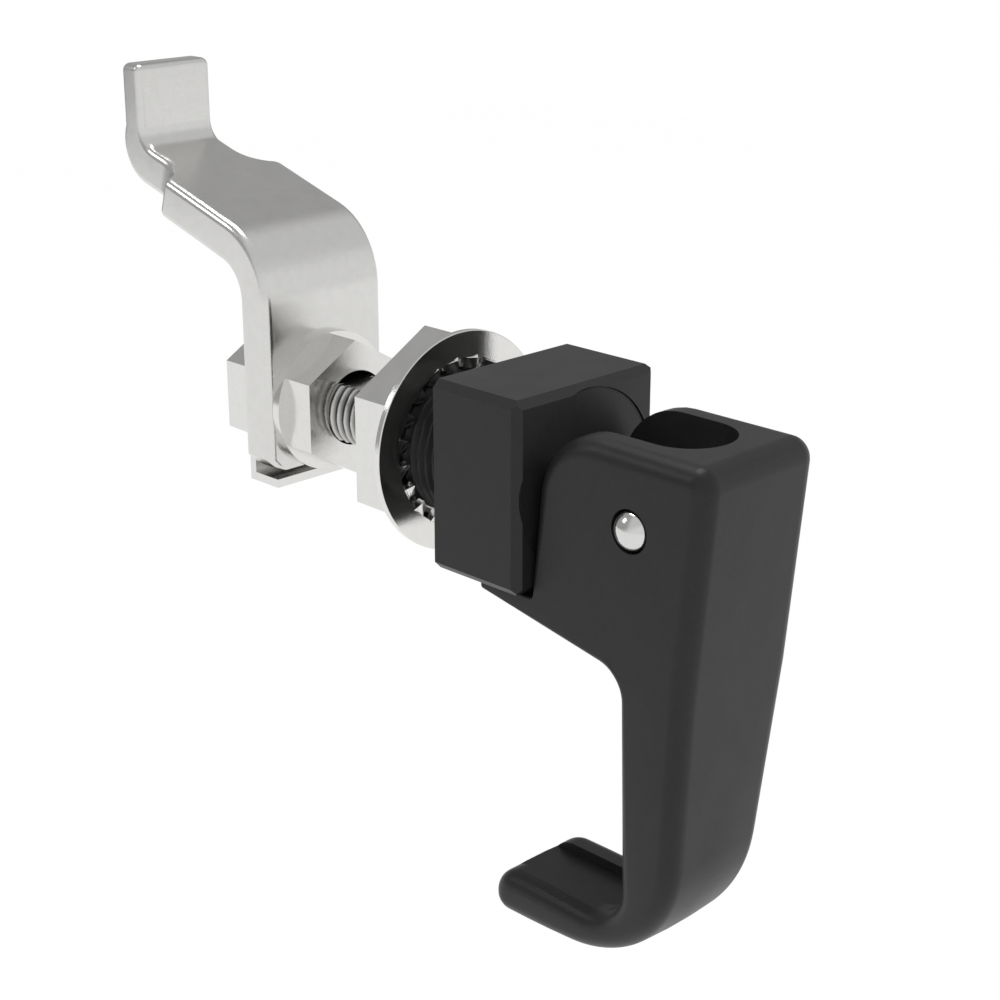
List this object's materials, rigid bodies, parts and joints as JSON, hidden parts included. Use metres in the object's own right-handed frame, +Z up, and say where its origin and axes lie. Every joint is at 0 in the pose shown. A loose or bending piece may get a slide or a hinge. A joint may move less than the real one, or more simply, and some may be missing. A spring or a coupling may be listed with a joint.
{
  "type": "compression latch",
  "caption": "Lift-and-turn compression latch: hooked lever on a square housing, threaded bushing with nut and lock washer, offset pawl clamped on a threaded shaft.",
  "frame": {"origin": "on the shaft axis, in the plane where the housing rests on the panel's outer face", "axes": "+X right seen from outside, +Y along the shaft into the cabinet, +Z up, towards the pawl's lip at rest"},
  "size_m": [0.032, 0.1232, 0.1134],
  "materials": {
    "black_body": "matt moulded",
    "black_rotor": "matt moulded",
    "washer_steel": "bright plated",
    "nut_steel": "bright plated",
    "thread_steel": "bright plated",
    "pin_steel": "polished",
    "black_lever": "matt moulded",
    "cast_steel": "satin cast",
    "sheet_steel": "bright plated"
  },
  "bodies": {
    "housing": {"housing": "black_body", "lock_washer": "washer_steel", "mounting_nut": "nut_steel"},
    "rotor": {"rotor": "black_rotor"},
    "shaft": {"shaft": "thread_steel", "pivot_pin": "pin_steel", "front_nut": "nut_steel", "pawl_washer": "washer_steel", "pawl": "cast_steel", "stop_plate": "sheet_steel", "rear_nut": "nut_steel"},
    "lever": {"lever": "black_lever"}
  },
  "joints": [
    {"name": "turn", "type": "hinge", "parent": "housing", "child": "rotor", "pos_m": [0, 0, 0], "axis": [0, 1, 0], "range_deg": [0, 90]},
    {"name": "shaft_slide", "type": "slide", "parent": "rotor", "child": "shaft", "axis": [0, 1, 0], "range_m": [0, 0.0034]},
    {"name": "lever_lift", "type": "hinge", "parent": "shaft", "child": "lever", "pos_m": [0, -0.03287, 0], "axis": [-1, 0, 0], "range_deg": [0, 90]}
  ],
  "couplings": [
    {"joint": "turn", "follows": "lever_lift", "ratio": 1},
    {"joint": "shaft_slide", "follows": "lever_lift", "m_per_rad": 0.002164}
  ]
}
